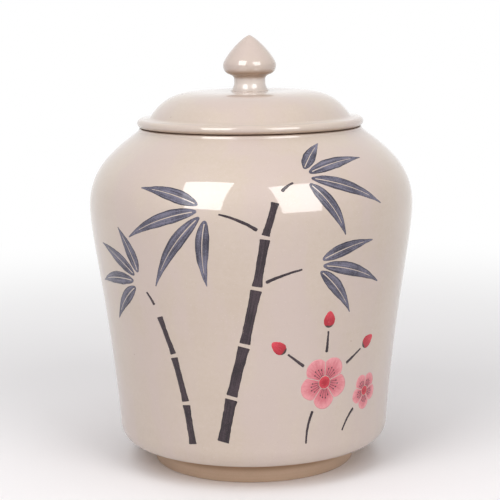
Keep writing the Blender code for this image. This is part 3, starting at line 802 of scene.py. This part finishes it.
# %% [markdown]
# ## Laying a stroke in the wall
#
# Each stroke starts as a flat grid. Its points are moved to where the stroke goes on the wall, and
# the sheet is then thickened inwards, as deep as the carving. A curve with a bevel would lie on
# the wall like a wire, but a grid lies flush with it. A brush never leaves a ruled edge, so a
# little noise moves the sides by up to a quarter of a millimetre.

# %% Bring a grid to the wall
BRUSH_WOBBLE = 0.00026
SIDES_APART, STROKES_APART = 7.0, 3.7  # steps in the noise to the other side and the next stroke
stroke_count = 0


def wobble(t, side, pace=9.0):
    """How far the brush strays here, the same for every point on one side of one stroke."""
    spot = Vector((t * pace, side * SIDES_APART, stroke_count * STROKES_APART))
    return BRUSH_WOBBLE * noise.noise(spot)


def even(v):
    """The rows stand at equal distances."""
    return v


def crowded(v):
    """The rows crowd towards both ends of a stroke, where its outline turns."""
    return 0.5 - 0.5 * math.cos(math.pi * v)


def grid_on_wall(work, columns, rows, shape, gap=None, number=0, out=0.0, spread=even):
    """Add a grid and lay it on the wall. shape gives the sheet's place for each u and v."""
    layer = work.loops.layers.uv.verify()
    flat = bmesh.ops.create_grid(work, x_segments=columns, y_segments=rows, size=1.0, calc_uvs=True)
    faces = {face for vertex in flat["verts"] for face in vertex.link_faces}
    for face in faces:
        for corner in face.loops:
            place = corner[layer].uv
            corner[layer].uv = (place.x + number, spread(place.y))
    for vertex in flat["verts"]:
        vertex.co.y = spread(vertex.co.y / 2 + 0.5)
    if gap:
        middles = {face: face.calc_center_median() for face in faces}
        opened = [face for face, middle in middles.items() if gap(middle.x, middle.y)]
        bmesh.ops.delete(work, geom=opened, context="FACES")
    for vertex in [v for v in flat["verts"] if v.is_valid]:
        vertex.co = on_wall(*shape(vertex.co.x, vertex.co.y), out)


print("rows of a short stroke:", [round(crowded(row / 6), 2) for row in range(7)])

# %% [markdown]
# The grid's faces have to look outwards before they get their thickness, because the thickness
# goes in behind them. The sum of how far each face looks away from the axis tells the side.

# %% Give a stroke its depth
INLAY_DEPTH = 0.0012
LEVEL = Vector((1, 1, 0))  # times a place, it leaves the way out from the axis


def lay(name, work, finish, nodes, depth=INLAY_DEPTH):
    """Thicken what the bmesh holds, and make it a piece."""
    bmesh.ops.remove_doubles(work, verts=work.verts, dist=WELD)
    bmesh.ops.recalc_face_normals(work, faces=work.faces)
    outward = sum(f.normal.dot(f.calc_center_median() * LEVEL) for f in work.faces)
    if outward < 0:
        bmesh.ops.reverse_faces(work, faces=work.faces)
    bmesh.ops.solidify(work, geom=work.faces[:], thickness=depth)
    return as_piece(name, work, (finish,), "jar", nodes)


print("depth of the carving in mm:", 1000 * INLAY_DEPTH)

# %% [markdown]
# ## A stroke of the brush
#
# The brush is set down and lifted with a round end, so the half width falls off in a quarter circle
# at both ends. A leaf's midrib is cut free with a needle, and the wall shows through it as a
# pale line. It could be painted, but then it would lie on the leaf and not in it, so in the grid it
# is a column of faces taken out.

# %% Make one stroke
CORNER_ROUND, CORNER_SHARE = 0.0007, 0.7
STEADY_HALF = 0.0009  # below this half width the brush strays less, so no side crosses the other
RIB_SHARE = 0.35
RIB_START, RIB_END = 0.05, 0.80


def round_ended(half, v, length):
    """The half width at v, less what the round ends take from it."""
    corner = min(CORNER_ROUND, CORNER_SHARE * half)
    to_end = min(v, 1 - v) * length / corner
    if to_end >= 1:
        return half
    return half - corner * (1 - math.sqrt(1 - (1 - to_end) ** 2))


def beside_rib(u, half, inner, step):
    """How far to its side u is, when the first columns off the middle are the rib's edges."""
    if abs(u) <= 0.5 * step:
        return 0.0
    share = (abs(u) - step) / (1 - step)
    return math.copysign(inner + max(share, 0.0) * (half - inner), u)


def strip(node, place, length, bend, half_width, columns, rows, finish, rib=None):
    """A stroke whose half width changes along it, with an open rib if one is given."""
    global stroke_count
    stroke_count += 1
    step = 1 / columns

    def shape(u, v):
        half = round_ended(half_width(v), v, length)
        side = beside_rib(u, half, min(rib(v), RIB_SHARE * half), step) if rib else u * half
        side += wobble(v, math.copysign(1, u)) * abs(u) * min(1.0, half / STEADY_HALF)
        return on_sheet(place, *along(length, bend, v, side))

    gap = (lambda u, v: abs(u) < step and RIB_START < v < RIB_END) if rib else None
    work = bmesh.new()
    grid_on_wall(work, columns, rows, shape, gap, stroke_count, spread=crowded)
    return lay(f"inlay_{node}", work, finish, [node])


print("width of the rounding in mm:", 1000 * CORNER_ROUND)

# %% [markdown]
# ## Bamboo
#
# A culm is laid one length at a time, with a bare gap at each node, and each length swells a little
# towards its nodes. One long strip cut at the nodes would look much the same, but each length
# stands in a carving of its own on the jar, so each is a piece of its own here.

# %% Lay the culms
NODE_GAP = 0.0022
NODE_SWELL = 0.0006


def culm_half(width):
    """The half width of a length of culm, which swells at both ends."""
    return lambda t: width / 2 + NODE_SWELL * abs(2 * t - 1) ** 4


bamboo_nodes = {}
for culm in CULMS:
    across, up = culm.across, culm.up
    for number, (turn, length, width) in enumerate(culm.lengths, 1):
        name, place = f"{culm.name}_{number}", (across, up, turn)
        strip(name, place, length, 0.0, culm_half(width), 10, 48, brown)
        across, up, _ = walk(place, length + NODE_GAP)
        bamboo_nodes[culm.name, number] = (across, up)
print("lengths of culm:", stroke_count)

# %% [markdown]
# A twig leaves its node and ends in a spray of leaves. A leaf has a short stalk, is widest a third
# of the way, and draws out to a long tip. A sine would be widest in the middle, so the leaf is a
# sine of a power of the way along it, which moves the belly towards the stalk.

# %% Lay the twigs and the leaves
TWIG_START, TWIG_END, TWIG_OFF_NODE = 0.0020, 0.0012, 0.0056
LEAF_STALK, LEAF_TIP, LEAF_WIDTH = 0.0012, 0.0007, 0.0082
LEAF_BEND = 24.0
HUB = 0.0065
RIB_HALF = 0.00034


def twig_half(t):
    """The half width of a twig, which thins towards its end."""
    return (TWIG_START * (1 - t) + TWIG_END * t) / 2


def leaf_half(t):
    """The half width of a leaf from its stalk to its tip."""
    ends = LEAF_STALK * (1 - t) + LEAF_TIP * t
    return (ends + (LEAF_WIDTH - ends) * math.sin(math.pi * t**0.68) ** 1.15) / 2


def midrib(t):
    """The half width of the open midrib, which thins towards the tip."""
    return RIB_HALF * (1 - 0.7 * t)


for spray in SPRAYS:
    start = walk((*bamboo_nodes[spray.culm, spray.node], spray.turn), TWIG_OFF_NODE)
    twig = f"{spray.name}_twig"
    strip(twig, start, spray.length, spray.bend, twig_half, 4, 30, brown)
    across, up, _ = walk(start, spray.length + HUB, spray.bend)
    for number, (turn, length) in enumerate(spray.leaves, 1):
        leaf, place = f"{spray.name}_leaf_{number}", walk((across, up, turn), HUB)
        bend = math.copysign(LEAF_BEND, turn)
        strip(leaf, place, length, bend, leaf_half, 15, 70, slate, midrib)
print("strokes so far:", stroke_count)

# %% [markdown]
# ## Blossoms
#
# A blossom is five round petals about a red eye. The carver leaves a thin wall of clay between each
# two petals. A five-lobed disc would lose those walls, so the five are separate grids, each bent
# into its share of the circle. Stamens are drawn over the petals last, in thin brown lines that
# end in dots.

# %% Shape the parts of a blossom
PETALS = 5
PETAL_GAP = 0.00045
PETAL_PACE = 3.0
NOTCH_POWER = 0.8
EYE_GAP = 0.0003
STAMEN_WIDTH, STAMEN_TAPER = 0.00018, 0.4
DOT_WIDTH, DOT_LENGTH = 0.00042, 0.00055


def petal_shape(blossom, centre, start):
    """A petal's grid: u goes across its share of the circle, and v from the eye to its end."""
    middle = (blossom.across, blossom.up, 0.0)
    wide = math.pi / PETALS

    def shape(u, v):
        fullness = math.sin(wide * PETALS / 2 * (1 + u)) ** NOTCH_POWER if abs(u) < 1 else 0.0
        end = blossom.radius - blossom.notch * (1 - fullness) + wobble(u, centre, PETAL_PACE)
        radius = start + v * (end - start)
        angle = centre + u * (wide - PETAL_GAP / (2 * radius))
        return on_sheet(middle, radius * math.sin(angle), radius * math.cos(angle))

    return shape


def disc_shape(middle, half_width, half_length):
    """A round or oval spot: u goes round it, and v from its middle to its edge."""

    def shape(u, v):
        sine, cosine = math.sin(math.pi * u), math.cos(math.pi * u)
        return on_sheet(middle, half_width * v * sine, half_length * v * cosine)

    return shape


def stamen_shape(middle, start, reach):
    """A thin line that starts off the eye and thins towards its dot."""

    def shape(u, v):
        return on_sheet(middle, u * STAMEN_WIDTH * (1 - STAMEN_TAPER * v), start + v * reach)

    return shape


print("a petal's share of the circle in degrees:", 360 / PETALS)

# %% [markdown]
# The petals, the eye and the stamens are laid one after the other. The stamens are part of no
# carving. They are a film of slip on top, so they lie a hair above the petals and are very thin.

# %% Lay the blossoms
STAMENS = ((-0.34, 0.34), (-0.13, 0.44), (0.10, 0.40), (0.31, 0.33))  # swing and share of the reach
STAMEN_LIFT = 0.00002
STAMEN_DEPTH = 0.00004
STALK_OFF_BLOSSOM = 0.0020
STALK_BEND = -26.0


def lay_petals(blossom, centres):
    """Five grids in one piece. Each counts as a stroke."""
    global stroke_count
    work = bmesh.new()
    for centre in centres:
        stroke_count += 1
        shape = petal_shape(blossom, centre, blossom.eye_radius + EYE_GAP)
        grid_on_wall(work, 24, 16, shape, None, stroke_count)
    lay(f"inlay_{blossom.name}", work, pink, [blossom.name])


def lay_eye(blossom):
    """The red eye in the hole between the petals."""
    work = bmesh.new()
    middle = (blossom.across, blossom.up, 0.0)
    grid_on_wall(work, 36, 5, disc_shape(middle, blossom.eye_radius, blossom.eye_radius))
    lay(f"inlay_{blossom.name}_eye", work, red, [f"{blossom.name}_eye"])


def lay_stamens(blossom, centres):
    """Four stamens on each petal, each a line and its dot."""
    work = bmesh.new()
    start = blossom.eye_radius + EYE_GAP
    for centre in centres:
        for swing, share in STAMENS:
            middle = (blossom.across, blossom.up, math.degrees(centre + swing))
            reach = share * (blossom.radius - blossom.eye_radius)
            line = stamen_shape(middle, start, reach)
            dot = disc_shape(walk(middle, start + reach), DOT_WIDTH, DOT_LENGTH)
            grid_on_wall(work, 2, 6, line, None, 0, STAMEN_LIFT)
            grid_on_wall(work, 12, 2, dot, None, 0, STAMEN_LIFT)
    lay(f"stamens_{blossom.name}", work, brown, [], STAMEN_DEPTH)


petal_centres = [math.pi * (2 * petal + 1) / PETALS for petal in range(PETALS)]
for blossom in BLOSSOMS:
    lay_petals(blossom, petal_centres)
    lay_eye(blossom)
    lay_stamens(blossom, petal_centres)
    place = (blossom.across, blossom.up, blossom.stalk_turn)
    start, length = walk(place, blossom.radius + STALK_OFF_BLOSSOM), blossom.stalk_length
    stalk = f"{blossom.name}_stalk"
    strip(stalk, start, length, STALK_BEND, twig_half, 4, 30, brown)
print("strokes so far:", stroke_count)

# %% [markdown]
# ## Buds
#
# The buds stand round the large blossom on straight stalks. Each is one fat stroke of the brush
# with a round base and a blunt tip. A disc would do from far away, but its streaks would run
# round it and not towards the tip.

# %% Lay the buds
BUD_LENGTH, BUD_WIDTH, BUD_END = 0.0105, 0.0078, 0.0012


def bud_half(t):
    """The half width of a bud, which is widest just under its middle."""
    swell = math.sin(math.pi * t**0.8) ** 0.8 if 0 < t < 1 else 0.0
    return (BUD_END + (BUD_WIDTH - BUD_END) * swell) / 2


large = BLOSSOMS[0]
for bud in BUDS:
    place, stalk = (large.across, large.up, bud.turn), f"{bud.name}_stalk"
    start = walk(place, large.radius + STALK_OFF_BLOSSOM)
    length = bud.distance - large.radius - 2 * STALK_OFF_BLOSSOM
    strip(stalk, start, length, 0.0, twig_half, 4, 24, brown)
    base = walk(place, bud.distance)
    strip(bud.name, base, BUD_LENGTH, 0.0, bud_half, 12, 40, red_bud)
print("strokes laid:", stroke_count)

# %% [markdown]
# ## The floor and the backdrop
#
# The jar stands on a plain pale floor. A sheet of paper could hang behind it, but its light would
# fill the shadows. Light Path solves that: the camera and the reflections see the world as white,
# while the light that it sheds on the jar stays low. The floor turns into the same white far from
# the jar, so no horizon shows.

# %% Spread the floor
FLOOR_RADIUS = 6.0
FLOOR_SIDES = 96
FLOOR_PALE, FLOOR_DARK = (0.92, 0.90, 0.91), (0.88, 0.855, 0.865)
FLOOR_MIDDLE = (0.90, 0.88, 0.885)
FADE_START, FADE_END = 0.10, 0.90
WHITE = (1.0, 1.0, 1.0, 1.0)
RAY_KINDS = ("Camera", "Glossy", "Transmission")


def seen_rays(tree):
    """1 for rays that show the backdrop, straight or in a gloss, and 0 for rays that light."""
    rays = Wire(tree).node("LightPath").socket.node.outputs
    camera_ray, glossy, transmission = (Wire(tree, rays[f"Is {kind} Ray"]) for kind in RAY_KINDS)
    return camera_ray + glossy + transmission


def pale_floor():
    """A pale floor that turns into the white of the backdrop far away from the jar."""
    finish, shader = new_finish("pale_floor", FLOOR_MIDDLE, 0.75)
    tree = finish.node_tree
    place = Wire(tree).node("TexCoord", output=OBJECT_PLACE)
    speckle = place.scaled(900.0, 900.0, 1.0).grain(1.0, 2.0)
    tone = (place.grain(3.0) * 0.6 + speckle * 0.4).between(0.3, 0.7)
    feed(shader, Base_Color=tone.blend(FLOOR_DARK, FLOOR_PALE))
    white = place.node("Emission", None, {"Color": WHITE, "Strength": 1.0})
    far = place.length().between(FADE_START, FADE_END) * seen_rays(tree)
    mixed = far.node("MixShader", None, {0: far, 1: Wire(tree, shader.outputs[0]), 2: white})
    tree.links.new(mixed.socket, tree.nodes["Material Output"].inputs["Surface"])
    return finish


floor_work = bmesh.new()
bmesh.ops.create_circle(
    floor_work, cap_ends=True, cap_tris=False, segments=FLOOR_SIDES, radius=FLOOR_RADIUS
)
floor_mesh = bpy.data.meshes.new("floor")
floor_work.to_mesh(floor_mesh)
floor_work.free()
floor_mesh.materials.append(pale_floor())
floor = bpy.data.objects.new("floor", floor_mesh)
bpy.context.scene.collection.objects.link(floor)
print("floor radius in m:", FLOOR_RADIUS)

# %% [markdown]
# The world needs the same rule. Its strength is a small ambient for the rays that light the jar,
# and 1, which is white, for the rays that show it.

# %% Hang the backdrop
AMBIENT = 0.15
world = bpy.data.worlds.new("backdrop")
world.use_nodes = True
bpy.context.scene.world = world
strength = AMBIENT + (1.0 - AMBIENT) * seen_rays(world.node_tree)
background = world.node_tree.nodes["Background"]
background.inputs["Color"].default_value = WHITE
world.node_tree.links.new(strength.socket, background.inputs["Strength"])
print("ambient light:", AMBIENT)

# %% [markdown]
# ## The soft boxes
#
# Two large soft boxes stand to the left and the right of the camera, a little above it. A burnished
# jar shows their shape on its shoulder, so each is an area lamp that faces the jar, and not a
# round or a distant one. A lamp's power spreads over its face, so a lamp of a known brightness
# needs a power of that brightness times its area times pi. Its place is given as a direction from
# the jar's shoulder, by azimuth and elevation, and a distance. The three turns then swing it a
# little off the jar, as the slanted sides of its reflection show. A wide, weak ceiling lamp lights
# what faces up, and the gloss doesn't show it.

# %% Light the jar
SHOULDER = Vector((0.0, 0.0, 0.15))
BOX_SIZE, BOX_DISTANCE = (0.68, 0.99), 1.3
CEILING_SIZE, CEILING_DISTANCE = (2.0, 2.0), 2.0
LEFT_BRIGHTNESS, RIGHT_BRIGHTNESS, TOP_BRIGHTNESS = 4.1, 3.6, 1.80


def soft_box(name, azimuth, elevation, distance, size, turns, brightness):
    """An area lamp facing the shoulder. Azimuth 0 is the camera's side, 90 the jar's right."""
    a, e = math.radians(azimuth), math.radians(elevation)
    way = Vector((math.sin(a) * math.cos(e), -math.cos(a) * math.cos(e), math.sin(e)))
    lamp = bpy.data.lights.new(name, "AREA")
    lamp.shape = "RECTANGLE"
    lamp.size, lamp.size_y = size
    lamp.energy = brightness * size[0] * size[1] * math.pi
    box = bpy.data.objects.new(name, lamp)
    facing = way.to_track_quat("Z", "Y").to_matrix().to_4x4()
    turned = Euler([math.radians(turn) for turn in turns], "XYZ").to_matrix().to_4x4()
    box.matrix_world = Matrix.Translation(SHOULDER + way * distance) @ facing @ turned
    bpy.context.scene.collection.objects.link(box)
    print(name, "power in watts:", round(lamp.energy, 2))
    return box


left_turns, right_turns = (-10.2, 16.7, 5.6), (-3.6, -6.9, -2.1)
soft_box("soft_box_left", -37.0, 33.2, BOX_DISTANCE, BOX_SIZE, left_turns, LEFT_BRIGHTNESS)
soft_box("soft_box_right", 35.7, 28.6, BOX_DISTANCE, BOX_SIZE, right_turns, RIGHT_BRIGHTNESS)
ceiling = soft_box(
    "ceiling_lamp", 0.0, 89.0, CEILING_DISTANCE, CEILING_SIZE, (0.0, 0.0, 0.0), TOP_BRIGHTNESS
)
ceiling.visible_glossy = False

# %% [markdown]
# ## The camera
#
# The jar was seen from a little under a metre away with a long lens, slightly from above. A camera
# could be aimed by a Track To constraint, but the angle, the lens and the small shift that put the
# jar where the eye saw it are known, so they are set as they are.

# %% Place the camera
CAMERA_BACK = 0.94
CAMERA_HEIGHT = 0.2853
CAMERA_PITCH = 0.1624
CAMERA_ROLL = 0.0120
FOCAL_LENGTH = 109.48
SENSOR_WIDTH = 36.0
SHIFT_SIDEWAYS = -0.0035
FARTHEST_SEEN = 20.0
camera_data = bpy.data.cameras.new("camera")
camera_data.lens = FOCAL_LENGTH
camera_data.sensor_width = SENSOR_WIDTH
camera_data.shift_x = SHIFT_SIDEWAYS
camera_data.clip_end = FARTHEST_SEEN
camera = bpy.data.objects.new("camera", camera_data)
camera.matrix_world = (
    Matrix.Translation((0.0, -CAMERA_BACK, CAMERA_HEIGHT))
    @ Matrix.Rotation(math.pi / 2 - CAMERA_PITCH, 4, "X")
    @ Matrix.Rotation(-CAMERA_ROLL, 4, "Z")
)
bpy.context.scene.collection.objects.link(camera)
bpy.context.scene.camera = camera
bpy.context.scene.view_settings.view_transform = "Standard"
print("the camera looks down by", round(math.degrees(CAMERA_PITCH), 1), "degrees")

# %% [markdown]
